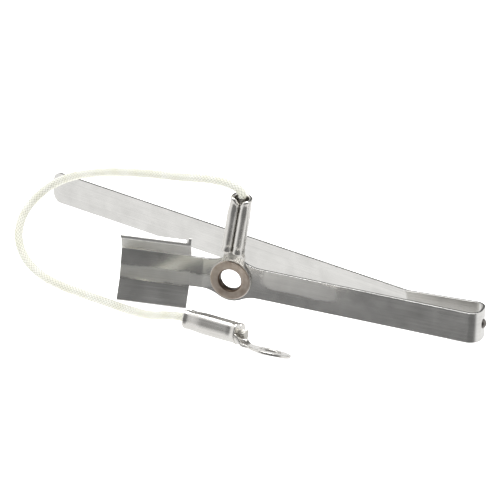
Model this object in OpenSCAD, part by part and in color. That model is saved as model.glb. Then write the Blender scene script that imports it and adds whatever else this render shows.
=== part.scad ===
// Folded spring contact with an eyelet-mounted, glass-braided lead.
// A bright spring strip stands on edge and is folded into a hairpin: a short front arm that ends in a
// three-sided saddle, and a long back leg. A hollow eyelet clamps one end of the lead to the arm.
// Origin: centre of the eyelet's bore. +Y: along the bore, towards the long leg. +X: towards the fold.
// +Z: up from the surface that the long leg's edge stands on.

/* [Spring strip] */
// Width of the strip
strip_w = 9.5; // [8:0.5:12]
// Thickness of the strip
strip_t = 0.8; // [0.6:0.1:1]
// Front arm, from the eyelet to the start of the fold
arm_l = 72; // [55:1:90]
// How far the front arm climbs from the fold to the eyelet, in degrees
arm_rise = 4.4; // [0:0.1:8]
// Long leg, from its kink to its tip
leg_l = 132; // [100:1:160]
// Corner radius at the long leg's tip
tip_r = 2.5; // [1:0.5:3.5]

/* [Fold] */
// Distance between the two legs' middle planes at the fold
fold_w = 8; // [7:0.5:12]
// Radius of the fold's two corners, at the middle of the strip
fold_r = 3; // [2:0.25:3.25]
// Straight stem between the fold and the kink
stem_l = 21.5; // [12:0.5:30]
// How far the stem opens away from the front arm, in degrees
stem_angle = 3.5; // [0:0.5:8]
// How far the long leg opens away from the front arm, in degrees
leg_angle = 21; // [15:0.5:28]

/* [Boss and saddle] */
// Radius of the round boss that carries the eyelet
boss_r = 7; // [6.8:0.1:8]
// Radius that blends the boss into the strip
boss_blend = 10; // [4:1:14]
// Forward bend of the neck behind the saddle, in degrees
neck_bend = 10; // [0:1:15]
// From the eyelet to the near end of the saddle
saddle_at = 12.4; // [12.2:0.1:20]
// Length of the saddle
saddle_l = 20.4; // [15:0.2:30]
// Height of the saddle's back, between its two bends
saddle_back = 10.2; // [9:0.1:14]
// Width of each jaw of the saddle
jaw_w = 6.6; // [4:0.2:9]
// Forward lean of each jaw from the saddle's back, in degrees
jaw_lean = 39; // [20:1:60]
// Width of the lead-in lip on the upper jaw
lip_w = 1.4; // [0.8:0.1:2.5]
// How far the lip leans back from upright, in degrees
lip_back = 55; // [0:1:70]

/* [Eyelet and fold rivet] */
// Radius of the eyelet's bore
eyelet_bore_r = 3.25; // [2.5:0.05:3.5]
// Wall of the eyelet's barrel
eyelet_wall = 0.45; // [0.3:0.05:0.6]
// Radius of the flange that is rolled over the terminal
front_flange_r = 6; // [5:0.1:6]
// Radius of the flange behind the strip
rear_flange_r = 5.2; // [4.6:0.1:6]
// Thickness of both flanges
flange_t = 0.45; // [0.3:0.05:0.7]
// Radius of the rivet head on the fold
rivet_r = 1.4; // [1:0.1:2]
// Height of the rivet head
rivet_h = 0.9; // [0.6:0.1:1.2]

/* [Terminals and lead] */
// Outer radius of the ring tongue
ring_r = 6.2; // [5.8:0.1:6.5]
// Radius of the free ring's hole
ring_bore_r = 3.25; // [2.5:0.05:3.7]
// Thickness of the terminal's sheet
ring_t = 0.8; // [0.5:0.1:1]
// From the barrel's open end to the ring's centre
ring_at = 28.5; // [25:0.5:34]
// Length of the crimped barrel
barrel_l = 17.5; // [12:0.5:18]
// Outer radius of the crimped barrel
barrel_r = 3.3; // [2.4:0.1:3.5]
// Width of the neck between the barrel and the ring
neck_w = 6.4; // [3:0.2:7]
// Radius of the bundle of bare strands in each barrel
strand_r = 1.15; // [0.8:0.05:1.4]
// Outer radius of the braided lead
lead_r = 1.25; // [1:0.05:1.4]
// How far the fixed terminal leans towards the fold, in degrees
terminal_lean = 9; // [0:1:20]

/* [Hidden] */
$fn = 96;

seat_gap = 0.03;                // clearance of the clamped barrel in its holes and under a rivet head
shank_gap = 0.08;               // radial clearance of the rivet's shank
fold_steps = 8;                 // facets round each corner of the fold
lead_sides = 8;                 // sides of the lead's tube
lead_steps = 2;                 // rings for each stretch between two points of the lead's route

// Boss: where the blend circles meet the strip's edges
blend_x = sqrt(pow(boss_r + boss_blend, 2) - pow(strip_w / 2 + boss_blend, 2));
neck_at = blend_x + 0.3;

// Fold: its centre line starts at the arm's end and stays at that height
fold_x = arm_l * cos(arm_rise);
fold_z = -arm_l * sin(arm_rise);
fold_turn = 90 - stem_angle;
web_x = fold_x + fold_r;
stem_x = fold_x + fold_r * cos(fold_turn);
stem_y = fold_w - fold_r + fold_r * sin(fold_turn);
kink_turn = leg_angle - stem_angle;

// Eyelet: its barrel passes through the strip and the ring tongue
eyelet_r = eyelet_bore_r + eyelet_wall;
strip_hole_r = eyelet_r + seat_gap;
tongue_front = strip_t / 2 + ring_t;
rivet_shank_r = rivet_r / 2;

// Terminal, along its own +X from the open end to the ring, crimp seam on its +Z side
lobe_r = barrel_r * 0.52;
lobe_x = barrel_r * 0.48;
lobe_z = barrel_r * 0.3;
strands_out = 2.4;              // bare strands that show past the barrel
free_at = [-6.5, -21.8, -3.89];
free_turn = [-22, 2, -12.5];

// Route of the lead's centre line, from the fixed terminal's barrel to the free terminal's
route = [
    [4.46, -3.7, 28.15], [4.45, -3.7, 29.3], [3.1, -3.45, 30.55], [0.7, -2.9, 31.3],
    [-2.8, -2, 31.45], [-7, -0.7, 31], [-11.3, 0.8, 30.1], [-16, 3.5, 28.5],
    [-24, 7.2, 26.5], [-33, 11.1, 24.2], [-41.5, 15, 21.5], [-48.5, 18, 18.8],
    [-55.5, 20.6, 15.6], [-61.5, 21.4, 11.9], [-66, 18.8, 8], [-68.3, 15.2, 4.4],
    [-68.6, 11.2, 0.8], [-67, 7.6, -2.8], [-63.3, 4.2, -6], [-57.5, 1, -8.2],
    [-50.5, -2.2, -8.9], [-42.5, -5.6, -8.9], [-34, -9.2, -8.8], [-26.5, -13, -8.3],
    [-20, -16.9, -7], [-14.5, -19.5, -5.2], [-10, -21, -4.1], [-6.6, -21.77, -3.89]
];

// A bar of strip that runs towards -X from here, its middle plane on y = 0
module strip_run(l, w = strip_w) {
    translate([-l, -strip_t / 2, -w / 2]) cube([l, strip_t, w]);
}

// The frame of the front arm, and the frame past the bend in its neck
module arm_frame() {
    rotate([0, arm_rise, 0]) children();
}

module neck_frame() {
    arm_frame() translate([-neck_at, 0, 0]) rotate([0, 0, neck_bend]) children();
}

// Stands a flat outline in x and z on edge, as thick as the sheet t
module on_edge(t) {
    rotate([90, 0, 0]) linear_extrude(t, center = true) children();
}

// Round boss with blends into the strip on all four sides
module boss_outline() {
    circle(boss_r);
    for (sx = [0, 1], sy = [0, 1]) mirror([sx, 0]) mirror([0, sy]) difference() {
        polygon([[0, 0], [blend_x, 0], [blend_x, strip_w / 2 + boss_blend]]);
        translate([blend_x, strip_w / 2 + boss_blend]) circle(boss_blend);
    }
}

module contact_arm() {
    color("silver") {
        arm_frame() difference() {
            union() {
                translate([arm_l, 0, 0]) strip_run(arm_l + neck_at);
                on_edge(strip_t) boss_outline();
                translate([-neck_at, 0, -strip_w / 2]) cylinder(h = strip_w, r = strip_t / 2);
            }
            rotate([90, 0, 0]) cylinder(h = 4 * strip_t, r = strip_hole_r, center = true);
        }
    }
}

// Cross-section of the saddle: its back, two jaws and the upper jaw's lip
module saddle_section() {
    square([strip_t, saddle_back], center = true);
    for (s = [0, 1]) mirror([0, s]) translate([0, saddle_back / 2]) {
        circle(strip_t / 2);
        rotate(jaw_lean) {
            translate([-strip_t / 2, 0]) square([strip_t, jaw_w]);
            if (s == 0) translate([0, jaw_w]) {
                circle(strip_t / 2);
                rotate(-jaw_lean - lip_back) translate([-strip_t / 2, 0]) square([strip_t, lip_w]);
            }
        }
    }
}

module saddle() {
    neck_l = saddle_at - neck_at;
    color("gainsboro") neck_frame() {
        translate([-strip_t / 2, 0, 0]) strip_run(neck_l - strip_t / 2);
        translate([-neck_l - saddle_l, 0, 0]) rotate([90, 0, 90])
            linear_extrude(saddle_l) saddle_section();
    }
}

// Stations of the fold's centre line: [x, y, heading]
function corner(y, from, turn) = [
    for (i = [0 : fold_steps])
        let (a = from + turn * i / fold_steps)
            [fold_x + fold_r * cos(a), y + fold_r * sin(a), a + 90]
];
fold_path = concat(corner(fold_r, -90, 90), corner(fold_w - fold_r, 0, fold_turn));
fold_last = len(fold_path) - 1;

// Four corners of the strip's section at a station; its edge lean dies out along the fold
function fold_ring(i) =
    let (s = fold_path[i],
         lean = arm_rise * (1 - i / fold_last),
         n = [sin(s[2]), -cos(s[2]), 0] * strip_t / 2,
         u = [sin(lean), 0, cos(lean)] * strip_w / 2,
         c = [s[0], s[1], fold_z])
    [c + n - u, c + n + u, c - n + u, c - n - u];

// Faces between rings of k points each, closed at both ends
function skin(rings, k) = concat(
    [[for (j = [0 : k - 1]) j]],
    [for (i = [0 : rings - 2], j = [0 : k - 1])
        [i * k + j, (i + 1) * k + j, (i + 1) * k + (j + 1) % k, i * k + (j + 1) % k]],
    [[for (j = [k - 1 : -1 : 0]) (rings - 1) * k + j]]
);

module spring_fold() {
    color("silver") difference() {
        polyhedron([for (i = [0 : fold_last]) each fold_ring(i)], skin(fold_last + 1, 4));
        rivet_frame() rotate([0, 90, 0])
            cylinder(h = 4 * strip_t, r = rivet_shank_r + shank_gap, center = true);
    }
}

module long_leg() {
    color("lightgray") translate([stem_x, stem_y, fold_z]) rotate([0, 0, -stem_angle]) {
        strip_run(stem_l);
        translate([-stem_l, 0, 0]) {
            translate([0, 0, -strip_w / 2]) cylinder(h = strip_w, r = strip_t / 2);
            rotate([0, 0, -kink_turn]) on_edge(strip_t) leg_outline();
        }
    }
}

module leg_outline() {
    translate([tip_r - leg_l, -strip_w / 2]) square([leg_l - tip_r, strip_w]);
    translate([-leg_l, tip_r - strip_w / 2]) square([leg_l, strip_w - 2 * tip_r]);
    for (s = [-1, 1]) translate([tip_r - leg_l, s * (strip_w / 2 - tip_r)]) circle(tip_r);
}

// The middle of the fold's web, which leans half as much as the arm
module rivet_frame() {
    translate([web_x, fold_w / 2, fold_z]) rotate([0, arm_rise / 2, 0]) children();
}

// Domed head outside the fold, shank through it
module fold_rivet() {
    dome_r = (pow(rivet_r, 2) + pow(rivet_h, 2)) / (2 * rivet_h);
    color("dimgray") rivet_frame() {
        translate([strip_t / 2 + seat_gap, 0, 0]) intersection() {
            translate([rivet_h - dome_r, 0, 0]) sphere(dome_r);
            translate([0, -rivet_r, -rivet_r]) cube([rivet_h, 2 * rivet_r, 2 * rivet_r]);
        }
        translate([-strip_t / 2, 0, 0]) rotate([0, 90, 0])
            cylinder(h = strip_t + rivet_h / 2, r = rivet_shank_r);
    }
}

// Hollow eyelet: a barrel with a flat rear flange and a rolled front flange
module eyelet() {
    rear = strip_t / 2;
    color("rosybrown") rotate([90, 0, 0]) rotate_extrude() {
        translate([eyelet_bore_r, -rear - flange_t])
            square([eyelet_wall, rear + 2 * flange_t + tongue_front]);
        translate([eyelet_bore_r, -rear - flange_t])
            square([rear_flange_r - eyelet_bore_r, flange_t]);
        translate([eyelet_bore_r, tongue_front])
            square([front_flange_r - flange_t / 2 - eyelet_bore_r, flange_t]);
        translate([front_flange_r - flange_t / 2, tongue_front + flange_t / 2])
            circle(flange_t / 2);
    }
}

// Closed crimp: a round back with two lobes that roll in to a seam
module barrel_section() {
    difference() {
        union() {
            difference() {
                circle(barrel_r);
                translate([-barrel_r, lobe_z]) square([2 * barrel_r, barrel_r]);
            }
            for (s = [-1, 1]) translate([s * lobe_x, lobe_z]) circle(lobe_r);
        }
        circle(strand_r);
    }
}

// Crimped ring terminal; hole_r is the hole in its tongue
module ring_terminal(hole_r) {
    rotate([90, 0, 90]) linear_extrude(barrel_l) barrel_section();
    translate([0, 0, -barrel_r]) linear_extrude(ring_t) difference() {
        union() {
            translate([ring_at, 0]) circle(ring_r);
            translate([barrel_l, -neck_w / 2]) square([ring_at - barrel_l, neck_w]);
        }
        translate([ring_at, 0]) circle(hole_r);
    }
}

// Bare strands through the barrel, showing past its inner end
module strands() {
    rotate([0, 90, 0]) cylinder(h = barrel_l + strands_out, r = strand_r);
}

// Carries the fixed terminal's ring onto the boss, its barrel upwards
module fixed_frame() {
    translate([0, -strip_t / 2, 0]) rotate([0, 90 + terminal_lean, 0]) rotate([90, 0, 0])
        translate([-ring_at, 0, barrel_r]) children();
}

module free_frame() {
    translate(free_at) rotate(free_turn) children();
}

module fixed_terminal() {
    color("lightsteelblue") fixed_frame() ring_terminal(strip_hole_r);
}

module free_terminal() {
    color("lightsteelblue") free_frame() ring_terminal(ring_bore_r);
}

module fixed_strands() {
    color("goldenrod") fixed_frame() strands();
}

module free_strands() {
    color("goldenrod") free_frame() strands();
}

// A smooth curve through the route: point at parameter f of stretch i
function at(i) = route[max(0, min(len(route) - 1, i))];
function curve(i, f) =
    let (a = at(i - 1), b = at(i), c = at(i + 1), d = at(i + 2))
    0.5 * (2 * b + (c - a) * f + (2 * a - 5 * b + 4 * c - d) * f * f
           + (3 * b - a - 3 * c + d) * f * f * f);
lead_path = concat(
    [for (i = [0 : len(route) - 2], k = [0 : lead_steps - 1]) curve(i, k / lead_steps)],
    [route[len(route) - 1]]
);
lead_last = len(lead_path) - 1;

function unit(v) = v / norm(v);
function tangent(i) =
    unit(lead_path[min(lead_last, i + 1)] - lead_path[max(0, i - 1)]);

// The side direction is carried along the path, so that the tube doesn't twist
function sides(i) =
    i == 0
        ? let (t = tangent(0)) [unit(cross(t, [0, 1, 0]))]
        : let (s = sides(i - 1), v = s[i - 1], t = tangent(i)) concat(s, [unit(v - (v * t) * t)]);
lead_side = sides(lead_last);

function lead_ring(i) =
    let (t = tangent(i), n = lead_side[i], b = cross(t, n))
    [for (j = [0 : lead_sides - 1])
        let (a = 360 * j / lead_sides) lead_path[i] + lead_r * (n * cos(a) - b * sin(a))];

module braided_lead() {
    color("ivory")
        polyhedron([for (i = [0 : lead_last]) each lead_ring(i)], skin(lead_last + 1, lead_sides));
}

contact_arm();
saddle();
spring_fold();
long_leg();
fold_rivet();
eyelet();
fixed_terminal();
fixed_strands();
free_terminal();
free_strands();
braided_lead();
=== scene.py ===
# %% [markdown]
# # A folded spring contact with a glass-braided lead
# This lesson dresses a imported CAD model. The model gives the real places and sizes, in metres,
# and the bodies that move. Each piece here is a surface worked out in millimetres around it.

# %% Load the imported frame
import math

import bpy
import numpy as np
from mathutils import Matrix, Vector


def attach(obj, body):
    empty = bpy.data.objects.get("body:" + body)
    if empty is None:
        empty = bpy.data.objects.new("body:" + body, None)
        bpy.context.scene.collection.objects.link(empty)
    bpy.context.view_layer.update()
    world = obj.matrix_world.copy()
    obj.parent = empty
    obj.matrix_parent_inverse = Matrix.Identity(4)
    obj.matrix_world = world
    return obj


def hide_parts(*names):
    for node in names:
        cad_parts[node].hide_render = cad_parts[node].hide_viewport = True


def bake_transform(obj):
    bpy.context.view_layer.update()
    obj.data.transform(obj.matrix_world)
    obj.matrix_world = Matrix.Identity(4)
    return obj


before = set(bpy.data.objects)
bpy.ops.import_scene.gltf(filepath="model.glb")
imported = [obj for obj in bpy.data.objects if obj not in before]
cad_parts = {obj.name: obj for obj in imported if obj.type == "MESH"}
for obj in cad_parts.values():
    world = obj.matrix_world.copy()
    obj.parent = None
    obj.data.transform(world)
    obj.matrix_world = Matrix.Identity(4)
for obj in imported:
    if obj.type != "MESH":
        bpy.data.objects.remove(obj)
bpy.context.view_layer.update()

# %% [markdown]
# ## Camera
# Product pictures are taken from far away with a long lens, so that edges stay nearly parallel.
# The camera stands 5 m from the middle of the object, a little to its right and 25 degrees up.
# The lens follows from the width that the picture has to show.

# %% Place the camera
AZIMUTH, ELEVATION = math.radians(17.7), math.radians(25)
FAR = 5.0
SHOWN_WIDTH = 0.1445
SENSOR = 36.0
target = Vector((0.00842, -0.00868, 0.01409))
back = Vector((math.sin(AZIMUTH) * math.cos(ELEVATION),
               -math.cos(AZIMUTH) * math.cos(ELEVATION), math.sin(ELEVATION)))
lens = bpy.data.cameras.new("product_camera")
lens.sensor_width = SENSOR
lens.lens = SENSOR * FAR / SHOWN_WIDTH
lens.clip_start, lens.clip_end = 0.5, 20.0
camera = bpy.data.objects.new("product_camera", lens)
bpy.context.scene.collection.objects.link(camera)
camera.location = target + back * FAR
camera.rotation_mode = "QUATERNION"
camera.rotation_quaternion = (-back).to_track_quat("-Z", "Y")
bpy.context.scene.camera = camera
print("lens in mm:", round(lens.lens))

# %% [markdown]
# ## From a grid of points to a mesh
# Most pieces are rings of points: ring i, point j. Four neighbours make a face, and the rings
# close on themselves. A flat cap closes each end, unless the rings run round in a circle.
# The volume inside tells which way the faces look: where it comes out negative, they are turned.

# %% Turn rings into a closed shell
def shell(points, flow=None, circle=False):
    """Faces join (i, j), (i+1, j), (i+1, j+1) and (i, j+1).
    flow holds a place along and across for each corner."""
    n, m = points.shape[:2]
    i, j = np.meshgrid(np.arange(n if circle else n - 1), np.arange(m), indexing="ij")
    i, j = i.ravel(), j.ravel()
    corners = [(i, j), (i + 1, j), (i + 1, j + 1), (i, j + 1)]
    quads = np.stack([(a % n) * m + b % m for a, b in corners], 1)
    if flow is None:
        flow = np.stack(np.meshgrid(np.arange(n + 1.0), np.arange(m + 1.0), indexing="ij"), -1)
    quad_flow = np.stack([flow[a, b] for a, b in corners], 1)
    flat = points.reshape(-1, 3)
    caps = [] if circle else [np.arange(m)[::-1], (n - 1) * m + np.arange(m)]
    triangles = np.concatenate([quads[:, [0, 1, 2]], quads[:, [0, 2, 3]]]
        + [np.stack([np.full(m - 2, c[0]), c[1:-1], c[2:]], 1) for c in caps])
    a, b, c = (flat[triangles[:, k]] for k in range(3))
    if (a * np.cross(b, c)).sum() < 0:
        quads, quad_flow, caps = quads[:, ::-1], quad_flow[:, ::-1], [c[::-1] for c in caps]
    cap_flow = [flow[c // m, c % m] for c in caps]
    return flat, quads, quad_flow, caps, cap_flow


def build(name, *shells, sharp=40):
    """One mesh in metres from closed shells in millimetres, with its own flow map.
    It is shaded smooth where faces meet below the sharp angle, in degrees."""
    points, faces, flow, base = [], [], [], 0
    for flat, quads, quad_flow, caps, cap_flow in shells:
        points.append(flat)
        faces += (quads + base).tolist() + [(c + base).tolist() for c in caps]
        flow += [quad_flow.reshape(-1, 2), *cap_flow]
        base += len(flat)
    mesh = bpy.data.meshes.new(name)
    mesh.from_pydata(np.concatenate(points) * 0.001, [], faces)
    corner_flow = np.concatenate(flow).astype(np.float32)
    mesh.uv_layers.new(name="flow").data.foreach_set("uv", corner_flow.ravel())
    mesh.shade_smooth()
    mesh.set_sharp_from_angle(angle=math.radians(sharp))
    piece = bpy.data.objects.new(name, mesh)
    bpy.context.scene.collection.objects.link(piece)
    print(name, len(mesh.polygons), "faces")
    return piece

# %% [markdown]
# ## Materials
# A material is a small graph of nodes. Colours are written as sRGB hex values, as a colour
# picker shows them, and turned to the linear values that light is added in.
# Every pattern is laid out in millimetres, on the flow map or on object coordinates.

# %% Colours and nodes
def linear(code):
    """sRGB to linear: up to 0.04045 c / 12.92, above it ((c + 0.055) / 1.055) ** 2.4."""
    c = np.array([int(code[k:k + 2], 16) for k in (1, 3, 5)]) / 255
    return (*np.where(c <= 0.04045, c / 12.92, ((c + 0.055) / 1.055) ** 2.4).tolist(), 1.0)


def add(material, kind, settings=None, values=None, links=None, stops=None):
    """Adds one node: its settings, its constant inputs, and links from other nodes' outputs.
    stops are the places, 0 to 1, and the hex values of a colour ramp."""
    node = material.node_tree.nodes.new("ShaderNode" + kind)
    for key, value in (settings or {}).items():
        setattr(node, key, value)
    for key, value in (values or {}).items():
        node.inputs[key].default_value = value
    for key, (source, output) in (links or {}).items():
        material.node_tree.links.new(source.outputs[output], node.inputs[key])
    for k, (place, code) in enumerate(stops or ()):
        element = node.color_ramp.elements[k] if k < 2 else node.color_ramp.elements.new(place)
        element.position, element.color = place, linear(code)
    return node


def new_material(name):
    """An empty graph with one principled shader on its output."""
    material = bpy.data.materials.new(name)
    material.use_nodes = True
    material.node_tree.nodes.clear()
    shader = add(material, "BsdfPrincipled")
    add(material, "OutputMaterial", links={"Surface": (shader, "BSDF")})
    return material, shader
# %% [markdown]
# ## The lead: route
# The lead is a glass-braided high-temperature wire, 2.5 mm thick and about 169 mm long.
# It leaves the upright terminal, bows back and round, and comes down to the table before it
# meets the loose terminal. Its route is a Catmull-Rom curve through the points that the CAD
# model uses, laid out again as points at equal distances.

# %% Route of the lead
ROUTE = np.array([
    (4.46, -3.7, 28.15), (4.45, -3.7, 29.3), (3.1, -3.45, 30.55), (0.7, -2.9, 31.3), (-2.8, -2, 31.45),
    (-7, -0.7, 31), (-11.3, 0.8, 30.1), (-16, 3.5, 28.5), (-24, 7.2, 26.5), (-33, 11.1, 24.2),
    (-41.5, 15, 21.5), (-48.5, 18, 18.8), (-55.5, 20.6, 15.6), (-61.5, 21.4, 11.9), (-66, 18.8, 8),
    (-68.3, 15.2, 4.4), (-68.6, 11.2, 0.8), (-67, 7.6, -2.8), (-63.3, 4.2, -6), (-57.5, 1, -8.2),
    (-50.5, -2.2, -8.9), (-42.5, -5.6, -8.9), (-34, -9.2, -8.8), (-26.5, -13, -8.3), (-20, -16.9, -7),
    (-14.5, -19.5, -5.2), (-10, -21, -4.1), (-6.6, -21.77, -3.89)])
LEAD_R, LEAD_STEP = 1.25, 0.2


def smooth_route(points, steps=24):
    """Catmull-Rom: between b and c, half of 2b + (c-a)t + (2a-5b+4c-d)t^2 + (3b-a-3c+d)t^3."""
    padded = np.concatenate([[2 * points[0] - points[1]], points, [2 * points[-1] - points[-2]]])
    a, b, c, d = (padded[k:k + len(points) - 1, None] for k in range(4))
    t = (np.arange(steps) / steps)[None, :, None]
    line = 0.5 * (2 * b + (c - a) * t + (2 * a - 5 * b + 4 * c - d) * t**2
                  + (3 * b - a - 3 * c + d) * t**3)
    return np.concatenate([line.reshape(-1, 3), points[-1:]])


def evenly(line, step):
    """Points at equal distances along a line, and those distances."""
    far = np.concatenate([[0], np.cumsum(np.linalg.norm(np.diff(line, axis=0), axis=1))])
    at = np.linspace(0, far[-1], int(far[-1] / step) + 1)
    return np.stack([np.interp(at, far, line[:, k]) for k in range(3)], 1), at


lead_line, lead_at = evenly(smooth_route(ROUTE), LEAD_STEP)
print("lead length in mm:", round(lead_at[-1], 1))

# %% [markdown]
# ## The lead: braid
# Real glass braid is two sets of yarns that wind round the wire in opposite directions and pass
# over and under each other. Two phases, a and b, grow along the one and the other set. A yarn is
# a sine hump across its phase, and the sign of sin(a) sin(b) says which set is on top.
# The humps are real relief in the mesh, so the outline of the lead is woven too.

# %% Carry a ring along a line
def frames(line, start):
    """Two unit normals per point that don't twist: a plain pair, turned back by its own
    summed twist."""
    along = np.gradient(line, axis=0)
    along /= np.linalg.norm(along, axis=1, keepdims=True)
    side = start - along * (along @ start)[:, None]
    side /= np.linalg.norm(side, axis=1, keepdims=True)
    over = np.cross(along, side)
    moved = side[:-1] - along[1:] * (side[:-1] * along[1:]).sum(1, keepdims=True)
    twist = np.arctan2((moved * over[1:]).sum(1), (moved * side[1:]).sum(1))
    turn = np.concatenate([[0], np.cumsum(twist)])[:, None]
    return side * np.cos(turn) + over * np.sin(turn), over * np.cos(turn) - side * np.sin(turn)


def braid_relief(at, turn, yarns, pitch):
    """Height 0 to 1 of a braid: each set is |sin|, and a smooth sign of sin(a) sin(b)
    picks the set on top."""
    a = np.pi * (yarns * turn / (2 * np.pi) + at / pitch)
    b = np.pi * (yarns * turn / (2 * np.pi) - at / pitch)
    on_top = 0.5 + 0.5 * np.tanh(3 * np.sin(a) * np.sin(b))
    return on_top * np.abs(np.sin(a)) ** 0.7 + (1 - on_top) * np.abs(np.sin(b)) ** 0.7


YARNS, PITCH, RELIEF = 8, 1.15, 0.12
RING_STEPS = 48
FIRST_SIDE = np.array([0.55, 0.75, 0.35])
ring_turn = np.linspace(0, 2 * np.pi, RING_STEPS + 1)[:-1]
lead_side, lead_over = frames(lead_line, FIRST_SIDE)
woven = braid_relief(lead_at[:, None], ring_turn[None], YARNS, PITCH)
lead_radius = LEAD_R - RELIEF + RELIEF * woven
outward = (np.cos(ring_turn)[None, :, None] * lead_side[:, None]
           + np.sin(ring_turn)[None, :, None] * lead_over[:, None])
lead_points = lead_line[:, None] + lead_radius[..., None] * outward
ring_share = np.arange(RING_STEPS + 1) / RING_STEPS
lead_flow = np.stack(np.meshgrid(lead_at, ring_share, indexing="ij"), -1)
lead = build("glass_braided_lead", shell(lead_points, lead_flow), sharp=75)

# %% [markdown]
# ## Glass braid finish
# Braided glass yarn is white with a faint ivory sizing. Each yarn is a bundle of fine filaments,
# so it has a soft sheen and hair-fine streaks that follow the yarns. The gaps between yarns
# trap light and look a little darker. The filaments are drawn 0.1 mm apart, coarser than real.

# %% Woven glass yarn
LEAD_GIRTH = 7.85
glass, shader = new_material("glass_braid_woven")
shader.inputs["Roughness"].default_value = 0.62
shader.inputs["IOR"].default_value = 1.5
shader.inputs["Sheen Weight"].default_value = 0.25
shader.inputs["Sheen Roughness"].default_value = 0.4
shader.inputs["Subsurface Weight"].default_value = 0.12
shader.inputs["Subsurface Scale"].default_value = 0.001
shader.inputs["Subsurface Radius"].default_value = (1.0, 0.95, 0.85)
flow = add(glass, "UVMap", {"uv_map": "flow"})
stretch = add(glass, "Mapping", values={"Scale": (1.0, LEAD_GIRTH, 1.0)},
              links={"Vector": (flow, "UV")})
split = add(glass, "SeparateXYZ", links={"Vector": (stretch, "Vector")})
phases = []
for sign in (1, -1):
    along = add(glass, "Math", {"operation": "MULTIPLY"}, {1: sign * math.pi / PITCH},
                {0: (split, "X")})
    phase = add(glass, "Math", {"operation": "MULTIPLY_ADD"}, {1: math.pi * YARNS / LEAD_GIRTH},
                {0: (split, "Y"), 2: (along, "Value")})
    phases.append(add(glass, "Math", {"operation": "SINE"}, links={0: (phase, "Value")}))
top = add(glass, "Math", {"operation": "MULTIPLY"},
          links={0: (phases[0], "Value"), 1: (phases[1], "Value")})
gap = add(glass, "Math", {"operation": "ABSOLUTE"}, links={0: (top, "Value")})
yarn = add(glass, "ValToRGB", links={"Fac": (gap, "Value")},
           stops=[(0.0, "#ABABA0"), (0.14, "#D4D4CB"), (0.5, "#E3E3DB")])
filament = add(glass, "TexWave", {"wave_type": "BANDS", "bands_direction": "DIAGONAL"},
               {"Scale": 3.2, "Distortion": 1.5, "Detail": 2.0}, {"Vector": (stretch, "Vector")})
sizing = add(glass, "TexNoise", values={"Scale": 0.25, "Detail": 3.0},
             links={"Vector": (stretch, "Vector")})
tint = add(glass, "ValToRGB", links={"Fac": (sizing, "Fac")},
           stops=[(0.35, "#FFFFFF"), (0.75, "#F5F4EA")])
colour = add(glass, "Mix", {"data_type": "RGBA", "blend_type": "MULTIPLY"}, {"Factor": 1.0},
             {"A": (yarn, "Color"), "B": (tint, "Color")})
glass.node_tree.links.new(colour.outputs["Result"], shader.inputs["Base Color"])
bump = add(glass, "Bump", values={"Strength": 0.35, "Distance": 0.00006},
           links={"Height": (filament, "Fac")})
glass.node_tree.links.new(bump.outputs["Normal"], shader.inputs["Normal"])
lead.data.materials.append(glass)
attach(lead, "contact")
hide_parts("braided_lead")
print("yarns each way:", YARNS, "pitch in mm:", PITCH)

# %% [markdown]
# ## The strip: path
# The long part of the contact is one hardened strip, 9.5 mm wide and 0.8 mm thick, bent like a
# hairpin. Bent sheet is easiest as a line of straight runs joined by arcs: each piece of the
# line has a start, a heading and a curvature, and any distance along it gives a point.

# %% A line of runs and arcs
def bent_line(corners, radii):
    """Straight runs through the corners, each corner rounded to its radius.
    Gives the pieces' starts, places, headings and curvatures."""
    corners = np.array(corners, float)
    run = np.diff(corners, axis=0)
    long = np.hypot(*run.T)
    head = np.unwrap(np.arctan2(run[:, 1], run[:, 0]))
    turn = np.diff(head)
    cut = np.array(radii) * np.tan(np.abs(turn) / 2)
    straight = long - np.concatenate([[0], cut]) - np.concatenate([cut, [0]])
    arc = np.array(radii) * np.abs(turn)
    length = np.zeros(2 * len(turn) + 1)
    length[0::2], length[1::2] = straight, arc
    start = np.concatenate([[0], np.cumsum(length)])
    curve = np.zeros(len(length))
    curve[1::2] = np.sign(turn) / np.array(radii)
    heading = np.repeat(head, 2)[:len(length)]
    place = np.zeros((len(length), 2))
    ahead = np.stack([np.cos(head), np.sin(head)], 1)
    place[0::2] = corners[:-1] + ahead * np.concatenate([[0], cut])[:, None]
    place[1::2] = corners[1:-1] - ahead[:-1] * cut[:, None]
    return start, place, heading, curve


def on_line(line, at):
    """Point and heading at each distance: along a run it goes straight, along an arc round."""
    start, place, heading, curve = line
    k = np.clip(np.searchsorted(start, at, side="right") - 1, 0, len(curve) - 1)
    ahead, c = at - start[k], curve[k]
    h0, h = heading[k], heading[k] + curve[k] * (at - start[k])
    safe = np.where(c == 0, 1, c)
    dx = np.where(c == 0, ahead * np.cos(h0), (np.sin(h) - np.sin(h0)) / safe)
    dy = np.where(c == 0, ahead * np.sin(h0), (np.cos(h0) - np.cos(h)) / safe)
    return place[k] + np.stack([dx, dy], 1), h


RISE, NECK_BEND = math.radians(4.4), math.radians(10)
NECK, NECK_L = 8.752, 3.648
FOLD_X, FOLD_Y, FOLD_Z = 71.788, 4, -5.524
WEB_X, LEG_Y = 74.788, 7.822
KNEE, LEG_TIP = (50.511, 9.307), (-72.722, 56.612)
BEND_R = 3
neck_back = NECK + NECK_L * math.cos(NECK_BEND)
strip_line = bent_line([
    (-neck_back * math.cos(RISE), -NECK_L * math.sin(NECK_BEND)), (-NECK * math.cos(RISE), 0),
    (WEB_X, 0), (WEB_X, LEG_Y), KNEE, LEG_TIP], [BEND_R] * 4)
STRIP_END = strip_line[0][-1]
print("strip length in mm:", round(STRIP_END, 1))

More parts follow.
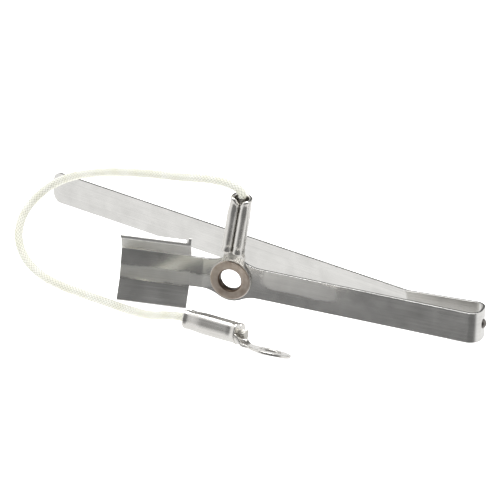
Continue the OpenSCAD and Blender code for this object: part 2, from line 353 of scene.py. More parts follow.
# %% [markdown]
# ## The strip: outline and section
# Across its length the strip keeps its width, but it swells to a round boss for the eyelet and
# its far tip has rounded corners. Its section is a thin rectangle with rolled, rounded edges.
# Close pairs of points beside each rounding keep the flats flat when the mesh is shaded smooth.

# %% Outline of the strip
STRIP_W, STRIP_T, EDGE_R = 9.5, 0.8, 0.12
BOSS_R, BLEND_R, TIP_R = 7.0, 10.0, 2.5
BLEND_X = math.sqrt((BOSS_R + BLEND_R) ** 2 - (STRIP_W / 2 + BLEND_R) ** 2)


def boss_half(x):
    """Half the width at x from the eyelet: the boss circle, then a hollow blend circle that
    touches it and the edge, then the plain strip."""
    x = np.abs(x)
    boss = np.sqrt(np.maximum(BOSS_R**2 - x**2, 0))
    past = np.minimum(x, BLEND_X) - BLEND_X
    blend = STRIP_W / 2 + BLEND_R - np.sqrt(np.maximum(BLEND_R**2 - past ** 2, 0))
    touch = BLEND_X * BOSS_R / (BOSS_R + BLEND_R)
    return np.where(x < touch, boss, np.where(x < BLEND_X, blend, STRIP_W / 2))


def plate_section(half_width, half_thick, edge=EDGE_R, steps=5, across=7, beside=0.05):
    """A rectangle with quarter-round corners per station: points go round the corners and in
    rows over both faces, with the outer rows just beside the rounding."""
    a = np.linspace(0, np.pi / 2, steps)
    c, s = np.cos(a), np.sin(a)
    w, t = half_width[:, None], half_thick[:, None]
    e = np.minimum(edge, 0.98 * np.minimum(w, t))
    row = np.linspace(1, -1, across + 2)[None, 1:-1]
    near = np.abs(row).max()
    inner = (w - e) * np.where(np.abs(row) == near, np.sign(row) * (1 - beside / (w - e)), row)
    right = np.stack([w - e + e * c, t - e + e * s], -1)
    left = np.stack([-(w - e + e * c[::-1]), t - e + e * s[::-1]], -1)
    front = np.stack([inner, np.broadcast_to(t, inner.shape)], -1)
    upper = np.concatenate([right, front, left], 1)
    return np.concatenate([upper, -upper], 1)


def girth(points):
    """Distance round each ring, from its first point back to it."""
    return np.concatenate([np.zeros((len(points), 1)), np.cumsum(
        np.linalg.norm(np.roll(points, -1, 1) - points, axis=-1), 1)], 1)
# %% [markdown]
# ## The strip: sweep
# Stations are close together where the outline or the path curves, and far apart on the flats.
# The arm is a flat strip that rises towards the saddle, so its middle line goes down towards the
# fold. Round the fold the lean fades to nothing, and the leg stands upright.

# %% Sweep the strip
FLAT_STEP = 3.0
FOLD_TURN = math.radians(176.5)
boss_at = np.linspace(-BLEND_X, BLEND_X, 61)
flat_at = strip_line[0][2] - strip_line[1][2, 0]
station = np.unique(np.round(np.concatenate([
    np.arange(0, STRIP_END, FLAT_STEP), flat_at + boss_at * math.cos(RISE),
    *[np.linspace(strip_line[0][k], strip_line[0][k + 1], 17) for k in (1, 3, 5, 7)],
    STRIP_END - TIP_R * (1 - np.sin(np.linspace(0, np.pi / 2, 12)))]), 4))
place, heading = on_line(strip_line, station)
arm = station < strip_line[0][3]
height = np.where(arm, -place[:, 0] * math.tan(RISE), FOLD_Z)
lean = RISE * np.clip(1 - heading / FOLD_TURN, 0, 1)
centre = np.column_stack([place, np.where(place[:, 0] > FOLD_X, FOLD_Z, height)])
normal = np.column_stack([np.sin(heading), -np.cos(heading),
                          np.where(arm, -np.sin(heading) * math.sin(RISE), 0)])
upward = np.column_stack([np.sin(lean), 0 * lean, np.cos(lean)])
into_tip = np.maximum(station - (STRIP_END - TIP_R), 0)
half = np.where(arm, boss_half((station - flat_at) / math.cos(RISE)), STRIP_W / 2)
half = half - TIP_R + np.sqrt(np.maximum(TIP_R**2 - into_tip**2, 0))
section = plate_section(half, np.full(len(half), STRIP_T / 2))
strip_points = (centre[:, None] + section[..., :1] * upward[:, None]
                + section[..., 1:] * normal[:, None])
round_it = girth(strip_points)
strip_flow = np.stack([np.broadcast_to(station[:, None], round_it.shape), round_it], -1)
strip = build("contact_strip", shell(strip_points, strip_flow))
print("strip stations:", len(station), "eyelet at", round(flat_at, 2), "mm along")

# %% [markdown]
# ## The punched hole
# The hole for the eyelet is punched through the finished blank. A Boolean cut does the same:
# a round cutter passes through the boss, and the cutter is thrown away afterwards.

# %% Punch the eyelet hole
def ring_of(radius, steps=96):
    """A circle of points round the Y axis, at equal angles."""
    a = np.linspace(0, 2 * np.pi, steps + 1)[:-1]
    return np.stack([radius * np.cos(a), 0 * a, radius * np.sin(a)], 1)


def punch(piece, radius, low, high):
    """Cuts a round hole along Y, between two depths, then applies the cut."""
    tool = np.stack([ring_of(radius) + (0, y, 0) for y in (low, high)])
    cutter = build(piece.name + "_punch", shell(tool))
    cut = piece.modifiers.new("punch", "BOOLEAN")
    cut.operation, cut.solver, cut.object = "DIFFERENCE", "EXACT", cutter
    depsgraph = bpy.context.evaluated_depsgraph_get()
    made = bpy.data.meshes.new_from_object(piece.evaluated_get(depsgraph))
    piece.modifiers.clear()
    piece.data = made
    made.set_sharp_from_angle(angle=math.radians(40))
    bpy.data.objects.remove(cutter)


HOLE_R = 3.73
punch(strip, HOLE_R, -3, 3)
print("strip after punching:", len(strip.data.polygons), "faces")

# %% [markdown]
# ## Spring steel finish
# Hardened stainless strip is cold-rolled: a bright grey metal with hair-fine lines along its
# length, and cloudy patches where it was handled and wiped. Rolling lines are about 0.02 mm
# apart, and are drawn here about 0.25 mm apart so that they show. They stretch along the strip.
# Where fingers and tools have rubbed it the steel is duller, in bands with a ragged border:
# one on the arm past the boss, one on the boss and neck, and two on the saddle.

# %% Rolled steel
RAGGED, BORDER, FADE_IN, FADE_OUT = 3.0, 1.2, 5, 8


def rolled_metal(name, light, dark, rough, along=0.02, across=4.0, relief=0.000004, scuff=()):
    """Metal with lines along the flow map: noise stretched along it moves the colour, the gloss
    and the surface. Each scuff is a matt band: low and high across the flow map in mm, measured
    about 1.5 mm above the real place because the raggedness is added, its drift per mm along,
    its start and end along, and its roughness."""
    material, shader = new_material(name)
    shader.inputs["Metallic"].default_value = 1.0
    flow = add(material, "UVMap", {"uv_map": "flow"})
    stretched = add(material, "Mapping", values={"Scale": (along, across, 1.0)},
                    links={"Vector": (flow, "UV")})
    lines = add(material, "TexNoise", values={"Scale": 1.0, "Detail": 4.0, "Roughness": 0.6},
                links={"Vector": (stretched, "Vector")})
    place = add(material, "TexCoord")
    clouds = add(material, "TexNoise", values={"Scale": 160.0, "Detail": 3.0, "Roughness": 0.5},
                 links={"Vector": (place, "Object")})
    half = add(material, "Math", {"operation": "MULTIPLY"}, {1: 0.5}, {0: (clouds, "Fac")})
    both = add(material, "Math", {"operation": "MULTIPLY_ADD"}, {1: 0.5},
               {0: (lines, "Fac"), 2: (half, "Value")})
    tone = add(material, "ValToRGB", links={"Fac": (both, "Value")},
               stops=[(0.32, dark), (0.62, light)])
    material.node_tree.links.new(tone.outputs["Color"], shader.inputs["Base Color"])
    gloss = add(material, "MapRange",
                values={"From Min": 0.3, "From Max": 0.7, "To Min": rough[0], "To Max": rough[1]},
                links={"Value": (both, "Value")})
    rubbed = (gloss, "Result")
    for low, high, drift, start, end, matt in scuff:
        axes = add(material, "SeparateXYZ", links={"Vector": (flow, "UV")})
        slant = add(material, "Math", {"operation": "MULTIPLY_ADD"}, {1: drift},
                    {0: (axes, "X"), 2: (axes, "Y")})
        ragged = add(material, "Math", {"operation": "MULTIPLY_ADD"}, {1: RAGGED},
                     {0: (clouds, "Fac"), 2: (slant, "Value")})
        borders = ((low, low + BORDER, (ragged, "Value")), (high, high - BORDER, (ragged, "Value")),
                   (start, start + FADE_IN, (axes, "X")), (end, end - FADE_OUT, (axes, "X")))
        inside = [add(material, "MapRange", {"interpolation_type": "SMOOTHSTEP"},
                      {"From Min": a, "From Max": b}, {"Value": source})
                  for a, b, source in borders]
        mask = (inside[0], "Result")
        for other in inside[1:]:
            mask = (add(material, "Math", {"operation": "MULTIPLY"},
                        links={0: mask, 1: (other, "Result")}), "Value")
        mixed = add(material, "Mix", {"data_type": "FLOAT"}, {"B": matt},
                    {"Factor": mask, "A": rubbed})
        rubbed = (mixed, "Result")
    material.node_tree.links.new(rubbed[0].outputs[rubbed[1]], shader.inputs["Roughness"])
    bump = add(material, "Bump", values={"Strength": 0.5, "Distance": relief},
               links={"Height": (lines, "Fac")})
    material.node_tree.links.new(bump.outputs["Normal"], shader.inputs["Normal"])
    return material


steel = rolled_metal("spring_steel_rolled", "#E2E1DE", "#CDCCC9", (0.17, 0.27), scuff=[
    (0.6, 6.8, -0.02, flat_at + 8, flat_at + 34, 0.5), (6.3, 11.2, 0.0, -6, flat_at - 3, 0.55)])
strip.data.materials.append(steel)
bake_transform(strip)
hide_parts("contact_arm", "spring_fold", "long_leg")
print("strip material nodes:", len(steel.node_tree.nodes))

# %% [markdown]
# ## The saddle
# Behind the neck the strip widens into a saddle: a flat back with an upper and a lower jaw that
# lean forward, and a short lip on the upper one. It is the same sheet, so its section is a bent
# line with half the thickness on each side, carried along the saddle. The lip ends in a small
# upturned corner beside the neck and reaches a little past the jaw at the far end.

# %% Section of the saddle
SADDLE_L, SADDLE_BACK, JAW_W, LIP_W = 20.4, 10.2, 6.6, 1.4
JAW_LEAN, LIP_BACK = math.radians(39), math.radians(55)
SADDLE_BEND_R, LIP_BEND_R = 0.75, 0.45


def ease(x, low, high):
    """0 below low, 1 above high, and 3t^2 - 2t^3 between."""
    t = np.clip((x - low) / (high - low), 0, 1)
    return t * t * (3 - 2 * t)


def sheet_loop(line, at, thick, edge=EDGE_R):
    """A closed loop round a bent line: out on one side, back on the other, with round ends."""
    middle, head = on_line(line, at)
    out = np.stack([-np.sin(head), np.cos(head)], 1)
    gap = np.minimum(at - at[0], at[-1] - at)
    thin = thick / 2 - edge + np.sqrt(np.maximum(edge**2 - np.maximum(edge - gap, 0) ** 2, 0))
    return np.concatenate([middle + out * thin[:, None], (middle - out * thin[:, None])[::-1]])


jaw = np.array([-math.sin(JAW_LEAN), math.cos(JAW_LEAN)]) * JAW_W
low_corner, high_corner = np.array([0, -SADDLE_BACK / 2]), np.array([0, SADDLE_BACK / 2])
low_end, high_end = low_corner + jaw * (1, -1), high_corner + jaw
lip = np.array([math.sin(LIP_BACK), math.cos(LIP_BACK)]) * LIP_W
jaw_line = bent_line([low_end, low_corner, high_corner, high_end, high_end + lip],
                     [SADDLE_BEND_R, SADDLE_BEND_R, LIP_BEND_R])
jaw_span = jaw_line[0][-1]
rim = EDGE_R * (1 - np.cos(np.linspace(0, np.pi / 2, 5)))
inset = EDGE_R + 0.04
jaw_at = np.unique(np.round(np.concatenate([
    rim, [inset], np.linspace(EDGE_R + 0.1, jaw_span - EDGE_R - 0.1, 46),
    [jaw_span - inset], jaw_span - rim,
    *[np.linspace(jaw_line[0][k], jaw_line[0][k + 1], 9) for k in (1, 3, 5)]]), 4))
saddle_loop = sheet_loop(jaw_line, jaw_at, STRIP_T)
print("developed width of the saddle in mm:", round(jaw_span, 1))

# %% [markdown]
# ## The saddle in place
# The section is carried straight back from the neck. The lip is lifted where it begins, beside
# the neck, and drawn out past the jaw where it ends. Then all of it turns with the neck's bend.

# %% Carry the section along the saddle
def neck_place(p):
    """From the neck's own frame: turned by the neck's bend, set back to the neck, and tilted by
    the arm's rise."""
    x = p[..., 0] * math.cos(NECK_BEND) - p[..., 1] * math.sin(NECK_BEND) - NECK
    y = p[..., 0] * math.sin(NECK_BEND) + p[..., 1] * math.cos(NECK_BEND)
    z = p[..., 2]
    return np.stack([x * math.cos(RISE) + z * math.sin(RISE), y,
                     z * math.cos(RISE) - x * math.sin(RISE)], -1)


CORNER_UP, CORNER_IN, LIP_REACH, SADDLE_FLOW = 0.7, 0.25, 0.8, 120
saddle_share = np.concatenate([[0, 0.004, 0.01], np.linspace(0.02, 0.98, 60), [0.99, 0.996, 1]])
saddle_x = -NECK_L - SADDLE_L * saddle_share
loop_at = np.concatenate([jaw_at, jaw_at[::-1]])
lip_share = ease(loop_at, jaw_span - LIP_W - 0.2, jaw_span)[None]
inner_end = ease(saddle_x, -NECK_L - 1.3, -NECK_L - 0.7)[:, None]
outer_end = ease(-saddle_x, NECK_L + SADDLE_L - 2.5, NECK_L + SADDLE_L)[:, None]
saddle_size = (len(saddle_x), len(loop_at))
along = np.broadcast_to(saddle_x[:, None], saddle_size) - LIP_REACH * outer_end * lip_share
rise = saddle_loop[None, :, 1] + CORNER_UP * inner_end * lip_share
depth = np.broadcast_to(saddle_loop[None, :, 0], saddle_size) - CORNER_IN * inner_end * lip_share
saddle_points = neck_place(np.stack([along, depth, rise], -1))
saddle_flow = np.stack([
    np.broadcast_to(-saddle_x[:, None] + SADDLE_FLOW, (len(saddle_x), len(loop_at) + 1)),
    np.broadcast_to(np.append(loop_at, loop_at[0]), (len(saddle_x), len(loop_at) + 1))], -1)
saddle = build("jaw_saddle", shell(saddle_points, saddle_flow), sharp=35)
rubbed = rolled_metal("spring_steel_rubbed", "#E2E1DE", "#CDCCC9", (0.17, 0.27), scuff=[
    (8.2, 13.4, 0.0, 110, 160, 0.6), (18.6, 26.0, 0.0, 110, 160, 0.45)])
saddle.data.materials.append(rubbed)
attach(saddle, "contact")
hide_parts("saddle")
print("saddle from", round(saddle_x[-1], 1), "to", round(saddle_x[0], 1), "mm behind the neck")

# %% [markdown]
# ## The eyelet
# A hollow eyelet clamps the ring terminal to the boss. It is drawn from sheet, pushed through
# and rolled over, so every edge is round. A profile of radius and depth turns round its axis.

# %% Turn a profile round an axis
def turned(profile, steps=96):
    """Each profile point (radius, depth) goes round the Y axis. A ring of the grid is the whole
    profile, and there is one for each step of the turn."""
    a = np.linspace(0, 2 * np.pi, steps + 1)
    r, y = profile.T
    grid = np.stack([np.cos(a)[:-1, None] * r, np.broadcast_to(y, (steps, len(y))),
                     np.sin(a)[:-1, None] * r], -1)
    side = np.hypot(*(np.roll(profile, -1, 0) - profile).T)
    long = np.concatenate([[0], np.cumsum(side)])
    flow_size = (steps + 1, len(long))
    flow = np.stack([np.broadcast_to(a[:, None] * 5, flow_size),
                     np.broadcast_to(long, flow_size)], -1)
    return shell(grid, flow, circle=True)


def arc(x, y, radius, first, last, steps=7):
    """Points on a circle between two angles in degrees."""
    a = np.radians(np.linspace(first, last, steps))
    return np.stack([x + radius * np.cos(a), y + radius * np.sin(a)], 1)


BORE_R, EYELET_R, FRONT_R, REAR_R, FLANGE_T = 3.25, 3.7, 6.0, 5.2, 0.45
FRONT_Y, REAR_Y = -1.2, STRIP_T / 2
MOUTH_R, RIM_R, BURR_R, BACK_R = 0.65, 0.3, 0.14, 0.4
h = FLANGE_T / 2
eyelet_profile = np.concatenate([
    arc(BORE_R + MOUTH_R, FRONT_Y - FLANGE_T + MOUTH_R, MOUTH_R, 180, 270, 9),
    arc(FRONT_R - RIM_R, FRONT_Y - FLANGE_T + RIM_R, RIM_R, 270, 360, 7) + (0, 0.02),
    arc(FRONT_R - BURR_R, FRONT_Y - BURR_R, BURR_R, 0, 90, 4),
    [(EYELET_R, FRONT_Y), (EYELET_R, REAR_Y)],
    arc(REAR_R - h, REAR_Y + h, h, -90, 90, 9),
    arc(BORE_R + BACK_R, REAR_Y + FLANGE_T - BACK_R, BACK_R, 90, 180, 7)])
eyelet = build("hollow_eyelet", turned(eyelet_profile), sharp=60)
print("eyelet bore in mm:", 2 * BORE_R)

# %% [markdown]
# ## Nickel on brass
# The eyelet is nickel-plated brass. The plating is thin and dull, and warm brass shows through,
# which gives a brownish grey. Near the bore the colour is painted darker, as painted shade in the
# hollow. Pressing leaves faint rings, so its pattern runs round the axis. The pattern's places
# are in metres.

# %% Dull nickel plating
nickel, shader = new_material("nickel_plated_brass_pressed")
shader.inputs["Metallic"].default_value = 1.0
place = add(nickel, "TexCoord")
squeezed = add(nickel, "VectorMath", {"operation": "MULTIPLY"}, {1: (1.0, 0.0, 1.0)},
               {0: (place, "Object")})
radius = add(nickel, "VectorMath", {"operation": "LENGTH"}, links={0: (squeezed, "Vector")})
rings = add(nickel, "TexNoise", {"noise_dimensions": "1D"}, {"Scale": 4000.0, "Detail": 2.0},
            {"W": (radius, "Value")})
worn = add(nickel, "TexNoise", values={"Scale": 500.0, "Detail": 4.0},
           links={"Vector": (place, "Object")})
plating = add(nickel, "ValToRGB", links={"Fac": (worn, "Fac")},
              stops=[(0.3, "#B3A496"), (0.7, "#CBC0B6")])
# Painted shade: the colour darkens towards the bore wall and the roll of its mouth, by radius from the
# axis, down to #6A625A.
depth = add(nickel, "MapRange",
            values={"From Min": (BORE_R + 0.02) / 1000, "From Max": (BORE_R + 0.5) / 1000},
            links={"Value": (radius, "Value")})
bore_painted_shade = add(nickel, "ValToRGB", links={"Fac": (depth, "Result")},
              stops=[(0.0, "#6A625A"), (0.6, "#9A8F86"), (1.0, "#FFFFFF")])
both = add(nickel, "Mix", {"data_type": "RGBA", "blend_type": "MULTIPLY"}, {"Factor": 1.0},
           {"A": (plating, "Color"), "B": (bore_painted_shade, "Color")})
nickel.node_tree.links.new(both.outputs["Result"], shader.inputs["Base Color"])
dull = add(nickel, "MapRange", values={"To Min": 0.3, "To Max": 0.48},
           links={"Value": (worn, "Fac")})
nickel.node_tree.links.new(dull.outputs["Result"], shader.inputs["Roughness"])
bump = add(nickel, "Bump", values={"Strength": 0.4, "Distance": 0.00001},
           links={"Height": (rings, "Fac")})
nickel.node_tree.links.new(bump.outputs["Normal"], shader.inputs["Normal"])
eyelet.data.materials.append(nickel)
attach(eyelet, "contact")
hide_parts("eyelet")
print("eyelet material nodes:", len(nickel.node_tree.nodes))

# %% [markdown]
# ## The fold's rivet
# A small domed rivet sits on the outside of the fold. It is turned steel, darker than the strip.
# The profile runs from the dome's pole down the shank to a flat tail, and turns round the axis.

# %% Dome and shank
RIVET_R, RIVET_H = 1.4, 0.9
SHANK_R, SEAT, BEVEL = RIVET_R / 2, STRIP_T / 2 + 0.03, 0.06
POLE_R, ROUND = 0.015, 48
ball = (RIVET_R**2 + RIVET_H**2) / (2 * RIVET_H)
edge_angle = math.degrees(math.asin(RIVET_R / ball))
tail = -STRIP_T / 2
rivet_profile = np.concatenate([
    arc(0, SEAT + RIVET_H - ball, ball, 89.4, 90 - edge_angle + 4, 12),
    [(RIVET_R, SEAT + 0.1), (RIVET_R - 0.04, SEAT), (SHANK_R, SEAT),
     (SHANK_R, tail + BEVEL), (SHANK_R - BEVEL, tail), (POLE_R, tail)]])
around = np.linspace(0, 2 * np.pi, ROUND + 1)[:-1]
r, x = rivet_profile.T
lean_half = RISE / 2
x, y, z = x[:, None], r[:, None] * np.cos(around), r[:, None] * np.sin(around)
rivet_points = np.stack([x * math.cos(lean_half) + z * math.sin(lean_half) + WEB_X, y + FOLD_Y,
                         z * math.cos(lean_half) - x * math.sin(lean_half) + FOLD_Z], -1)
rivet = build("fold_rivet_head", shell(rivet_points), sharp=45)
dark_steel = rolled_metal("rivet_steel_turned", "#8C8884", "#6B6763", (0.25, 0.4), 0.5, 2.0)
rivet.data.materials.append(dark_steel)
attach(rivet, "contact")
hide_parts("fold_rivet")
print("dome radius in mm:", round(ball, 2))

# %% [markdown]
# ## Ring terminals: barrel
# Each terminal is stamped from one sheet. Its long barrel is an F crimp: two wings roll in from
# the sides and meet in a seam, so the section is heart-shaped. The outline is given as a radius
# for each angle from the seam. At the mouth the wings spread and leave a V-shaped notch.
# The barrel is a tube that goes along its outside, round its rim and back down inside.

# %% Heart-shaped barrel
BARREL_L, BARREL_R, BARREL_WALL, BARREL_EDGE = 17.5, 3.3, 1.1, 0.22
RING_AT, RING_R, RING_T, NECK_W = 28.5, 6.2, 0.8, 6.4
LOBE_R, LOBE_Y, LOBE_Z = 0.52 * BARREL_R, 0.48 * BARREL_R, 0.3 * BARREL_R


def heart(angle):
    """The furthest of the round back and two lobe circles along each ray from the axis.
    Angle 0 is the seam."""
    ray = np.stack([np.abs(np.sin(angle)), np.cos(angle)])
    mid = ray[0] * LOBE_Y + ray[1] * LOBE_Z
    inside = mid**2 - (LOBE_Y**2 + LOBE_Z**2) + LOBE_R**2
    lobe = np.where(inside > 0, mid + np.sqrt(np.maximum(inside, 0)), 0)
    base = np.where(ray[1] * BARREL_R <= LOBE_Z, BARREL_R, LOBE_Z / np.maximum(ray[1], 1e-6))
    return np.maximum(lobe, base)


SIDES, SEAM_DEEP, NOTCH_DEEP = 144, 0.35, 1.9
angle = np.linspace(-np.pi, np.pi, SIDES + 1)[:-1]
outline = heart(angle) - SEAM_DEEP * np.exp(-(angle / 0.05) ** 2)
notch = NOTCH_DEEP * np.exp(-(angle / 0.42) ** 2)
print("barrel from seam to back in mm:", round(outline.min(), 2), "to", round(outline.max(), 2))


def barrel_rings():
    """Rings from the inner end's hub, along the outside to the rim, round it and back inside to
    a floor. The mouth flares a little behind a waist, and a faint pinch marks the inner end."""
    out_x = np.concatenate([BARREL_L - np.array([0, 0.03, 0.1, 0.22, 0.4]),
                            np.linspace(BARREL_L - 0.8, 3.2, 26), np.linspace(2.9, 0.3, 12)])
    short = np.maximum(BARREL_EDGE - (BARREL_L - out_x), 0)
    shrink = BARREL_EDGE - np.sqrt(np.maximum(BARREL_EDGE**2 - short ** 2, 0))
    bell = (0.2 * ease(-out_x, -1.6, 0) - 0.3 * ease(-out_x, -6.0, -1.0)
            + 0.12 * ease(out_x, BARREL_L - 1.4, BARREL_L))
    pinch = 0.10 * np.exp(-((out_x - BARREL_L + 1.6) / 0.5) ** 2)
    radius = outline[None] - shrink[:, None] + (bell - pinch)[:, None]
    x = out_x[:, None] + notch[None] * ease(-out_x, -4.0, -0.3)[:, None]
    rim_turn = np.linspace(0, np.pi, 9)[1:-1]
    rim_r = radius[-1:] - (BARREL_WALL / 2) * (1 - np.cos(rim_turn))[:, None]
    rim_x = x[-1:] - 0.45 * np.sin(rim_turn)[:, None]
    in_x = np.array([0.3, 0.9, 1.6, 2.4, 3.2])
    in_r = np.maximum(radius[-1:] - BARREL_WALL - 0.35 * ease(in_x, 0.3, 3.2)[:, None], 1.0)
    deep_x = in_x[:, None] + notch[None]
    hub = np.full((1, SIDES), 0.4)
    return (np.concatenate([np.full((1, SIDES), BARREL_L), x, rim_x, deep_x, deep_x[-1:]]),
            np.concatenate([hub, radius, rim_r, in_r, hub]))


barrel_x, barrel_r = barrel_rings()
barrel_points = np.stack([barrel_x, barrel_r * np.sin(angle)[None],
                          barrel_r * np.cos(angle)[None]], -1)
barrel_round = np.append(angle, np.pi)[None] * BARREL_R
barrel_flow = np.stack([np.pad(barrel_x, ((0, 0), (0, 1)), "wrap"),
                        np.broadcast_to(barrel_round, (len(barrel_x), SIDES + 1))], -1)
print("barrel rings:", len(barrel_x))

# %% [markdown]
# ## Ring terminals: tongue
# The tongue is the flat ring and the neck that joins it to the barrel. Rays from the middle of
# the hole reach every point of its outline, so the plate is a ring of sections: up the wall of
# the hole, out over the top, round the edge and back underneath. Near the barrel the neck rises
# at both sides and follows the barrel's round back.

# %% Ring tongue
PLATE_EDGE, SOFT_JOIN = 0.22, 14.0


def tongue_outline(steps=240):
    """Radius from the hole's middle at each angle: the ring, or where the ray leaves the neck's
    straight side or its hidden end. A high power mean of the two rounds the corner between."""
    a = np.linspace(-np.pi, np.pi, steps + 1)[:-1]
    side = np.maximum(np.abs(np.sin(a)), 1e-6)
    ahead = -np.cos(a)
    neck_end = (RING_AT - BARREL_L + 1.2) / np.maximum(ahead, 1e-6)
    reach = np.where(ahead > 0, np.minimum(NECK_W / 2 / side, neck_end), 0)
    return a, (RING_R**SOFT_JOIN + reach**SOFT_JOIN) ** (1 / SOFT_JOIN)


def tongue_points(hole):
    """Sections from the hole out to the edge and back, bent up at the sides near the barrel."""
    a, far = tongue_outline()
    t, e = RING_T / 2, PLATE_EDGE
    turn = np.linspace(0, np.pi, 9)[None, 1:-1]
    across, over = e * np.sin(turn), (t - e) * np.sign(np.cos(turn)) + e * np.cos(turn)
    top = hole + e + (far[:, None] - hole - 2 * e) * np.linspace(0, 1, 14)[None]
    edge = far[:, None] - e + across
    wall = np.broadcast_to(hole + e - across, edge.shape)
    r = np.concatenate([top, edge, top[:, ::-1], wall], 1)
    z = np.concatenate([np.broadcast_to(t, top.shape), np.broadcast_to(over, edge.shape),
                        np.broadcast_to(-t, top.shape), np.broadcast_to(-over, wall.shape)], 1)
    x, y = RING_AT + r * np.cos(a)[:, None], r * np.sin(a)[:, None]
    round_r = BARREL_R - 0.1
    rise = round_r - np.sqrt(np.maximum(round_r ** 2 - np.minimum(np.abs(y), 3.0) ** 2, 0))
    z = z + (0.1 + rise) * ease(-x, -(BARREL_L + 3.2), -(BARREL_L + 0.2))
    points = np.stack([x, y, z - BARREL_R + t], -1)
    flow = np.stack([x, y + 3 * (z > 0)], -1)
    return points, np.pad(flow, ((0, 1), (0, 1), (0, 0)), "wrap")


def terminal(name, hole, place):
    """Barrel and tongue as one piece, put in place."""
    points, flow = tongue_points(hole)
    barrel = shell(place(barrel_points), barrel_flow)
    return build(name, barrel, shell(place(points), flow, circle=True), sharp=42)


LEAN = math.radians(9)
FREE_TURN, FREE_AT = np.radians((-22, 2, -12.5)), (-6.5, -21.8, -3.89)
FREE_HOLE_R = 3.25


def fixed_place(p):
    """Ring to the eyelet's axis, seam towards -Y, barrel up, leaning towards the fold."""
    x, y, z = p[..., 0] - RING_AT, p[..., 1], p[..., 2] + BARREL_R
    turn = math.radians(90) + LEAN
    depth, height = -z, y
    return np.stack([x * math.cos(turn) + height * math.sin(turn), depth - STRIP_T / 2,
                     height * math.cos(turn) - x * math.sin(turn)], -1)


def free_place(p):
    """Rolled, tipped and swung by the three angles, and moved to the lead's end."""
    a, b, c = FREE_TURN
    roll = np.array([[1, 0, 0], [0, math.cos(a), -math.sin(a)], [0, math.sin(a), math.cos(a)]])
    tip = np.array([[math.cos(b), 0, math.sin(b)], [0, 1, 0], [-math.sin(b), 0, math.cos(b)]])
    swing = np.array([[math.cos(c), -math.sin(c), 0], [math.sin(c), math.cos(c), 0], [0, 0, 1]])
    return p @ (swing @ tip @ roll).T + FREE_AT


fixed = terminal("fixed_ring_terminal", HOLE_R, fixed_place)
free = terminal("free_ring_terminal", FREE_HOLE_R, free_place)
ring_centre = np.array([RING_AT, 0, RING_T / 2 - BARREL_R])
print("ring centres in mm:", *[np.round(f(ring_centre), 1) for f in (fixed_place, free_place)])

# %% [markdown]
# ## Plated steel
# The terminals are stamped steel with a bright nickel plating. Stamping and rolling in leave
# longer, softer marks than on the strip, and they run along the barrel.

# %% Plated terminal finish
plate = rolled_metal("nickel_plated_steel_stamped", "#E6E4E0", "#D2CFCA", (0.2, 0.32), 0.05, 2.2)
for piece, node in ((fixed, "fixed_terminal"), (free, "free_terminal")):
    piece.data.materials.append(plate)
    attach(piece, "contact")
    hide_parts(node)
print("terminals finished")

# %% [markdown]
# ## The bare strands
# Inside each barrel the glass braid is stripped back and the nickel strands are gripped. Their
# cut ends show past the barrel: an outer layer of fine wires with a slow twist, a little spread
# where the barrel lets them go. The bundle's radius swells at each wire, with a groove between.
# The ends are cut flat.

# %% Strand bundles
STRAND_R, STRANDS_OUT, WIRES = 1.15, 2.4, 18
GROOVE, WIRE_HIGH, LAY, SPREAD, FRAY = 0.12, 0.14, 0.16, 0.25, 0.12
strand_x = np.concatenate([np.linspace(0.02, BARREL_L, 30),
                           np.linspace(BARREL_L + 0.1, BARREL_L + STRANDS_OUT, 24)])
strand_turn = np.linspace(0, 2 * np.pi, WIRES * 8 + 1)[:-1]
twist = LAY * strand_x[:, None]
spread = SPREAD * ease(strand_x, BARREL_L, BARREL_L + 1.2)[:, None]
at_end = ease(strand_x, BARREL_L + 1.5, BARREL_L + STRANDS_OUT)[:, None]
fray = FRAY * np.sin(3 * strand_turn + 1)[None] * at_end
wires = WIRE_HIGH * np.abs(np.cos(WIRES / 2 * (strand_turn[None] - twist))) ** 0.6
strand_radius = (STRAND_R - GROOVE) + wires + spread + fray
strand_radius = np.concatenate([strand_radius, strand_radius[-1:] * 0.9, strand_radius[-1:] * 0.06])
strand_along = np.concatenate([strand_x, strand_x[-1:] + 0.03, strand_x[-1:] + 0.05])
strand_grid = np.stack([np.broadcast_to(strand_along[:, None], strand_radius.shape),
                        strand_radius * np.sin(strand_turn),
                        strand_radius * np.cos(strand_turn)], -1)
flow_size = (len(strand_along), len(strand_turn) + 1)
strand_flow = np.stack([np.broadcast_to(strand_along[:, None], flow_size),
                        np.broadcast_to(np.append(strand_turn, 2 * np.pi), flow_size)], -1)
wire = rolled_metal("nickel_wire_drawn", "#D2D0CA", "#B4B1AA", (0.4, 0.55), 1.0, 3.0)
for name, place, node in (("fixed_strand_bundle", fixed_place, "fixed_strands"),
                          ("free_strand_bundle", free_place, "free_strands")):
    piece = build(name, shell(place(strand_grid), strand_flow), sharp=50)
    piece.data.materials.append(wire)
    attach(piece, "contact")
    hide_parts(node)
print("wires in the outer layer:", WIRES)

# %% [markdown]
# ## The lead's length
# The lead is limp and is seen whole, so its length is that of its route.

print("lead built along its route")

# %% [markdown]
# ## Floor
# The object lies on a matt white table that glows a little, as paper does with light behind it.
# Metal doesn't mirror it: what the metal shows comes from the tent alone.

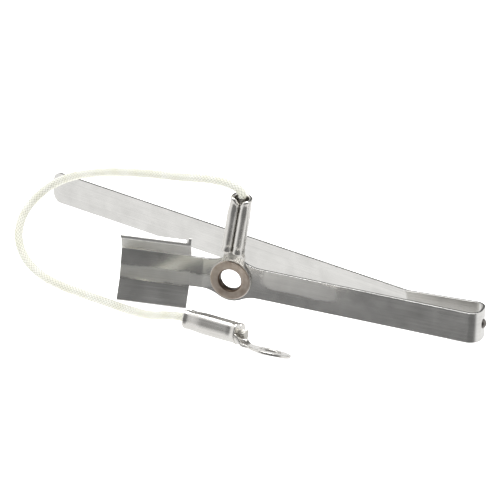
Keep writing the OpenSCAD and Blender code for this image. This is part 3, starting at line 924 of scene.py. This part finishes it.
# %% Floor
FLOOR_Z, FLOOR_HALF = -10.27, 4
corners = ((-1, -1), (1, -1), (1, 1), (-1, 1))
floor_mesh = bpy.data.meshes.new("table_top")
floor_mesh.from_pydata([(x * FLOOR_HALF, y * FLOOR_HALF, FLOOR_Z / 1000) for x, y in corners],
                       [], [(0, 1, 2, 3)])
floor = bpy.data.objects.new("table_top", floor_mesh)
bpy.context.scene.collection.objects.link(floor)
paper, paper_shader = new_material("white_paper_matt")
paper_shader.inputs["Base Color"].default_value = linear("#F6F6F6")
paper_shader.inputs["Roughness"].default_value = 0.9
paper_shader.inputs["Specular IOR Level"].default_value = 0.1
paper_shader.inputs["Emission Color"].default_value = linear("#FFFFFF")
paper_shader.inputs["Emission Strength"].default_value = 0.7
floor.data.materials.append(paper)
floor.visible_glossy = False
print("floor at", FLOOR_Z, "mm")

# %% [markdown]
# ## Light tent
# A bright tent surrounds the object, with a dark opening in front and a dark patch high at the
# back. Polished metal shows this tent, which gives it its darks and lights. Each is a dot product
# with a direction, eased between two limits. A soft lamp overhead adds gentle shading.

# %% Light tent
world = bpy.data.worlds.new("light_tent")
bpy.context.scene.world = world
world.use_nodes = True
world.node_tree.nodes.clear()
direction = add(world, "TexCoord")
toward = add(world, "VectorMath", {"operation": "DOT_PRODUCT"}, {1: (0.3, -1.0, 0.25)},
             {0: (direction, "Generated")})
behind = add(world, "VectorMath", {"operation": "DOT_PRODUCT"}, {1: (0.0, 0.8, 0.6)},
             {0: (direction, "Generated")})
opening = add(world, "MapRange", {"interpolation_type": "SMOOTHSTEP"},
              {"From Min": 0.3, "From Max": 0.72, "To Min": 1.3, "To Max": 0.24},
              {"Value": (toward, "Value")})
ceiling = add(world, "MapRange", {"interpolation_type": "SMOOTHSTEP"},
              {"From Min": 0.78, "From Max": 0.9, "To Min": 1.0, "To Max": 0.12},
              {"Value": (behind, "Value")})
tent = add(world, "Math", {"operation": "MULTIPLY"},
           links={0: (opening, "Result"), 1: (ceiling, "Result")})
glow = add(world, "Background", links={"Strength": (tent, "Value")})
add(world, "OutputWorld", links={"Surface": (glow, "Background")})


def softbox(name, place, size, power):
    """A square lamp that looks at the object, in metres and watts, unseen by the camera itself."""
    lamp = bpy.data.lights.new(name, "AREA")
    lamp.shape, lamp.size, lamp.energy = "SQUARE", size, power
    box = bpy.data.objects.new(name, lamp)
    bpy.context.scene.collection.objects.link(box)
    box.location = place
    box.rotation_mode = "QUATERNION"
    box.rotation_quaternion = (Vector(place) - target).to_track_quat("Z", "Y")
    box.visible_camera = False


softbox("overhead", (0.0, 0.05, 0.7), 0.6, 6.0)
bpy.context.scene.view_settings.view_transform = "Standard"
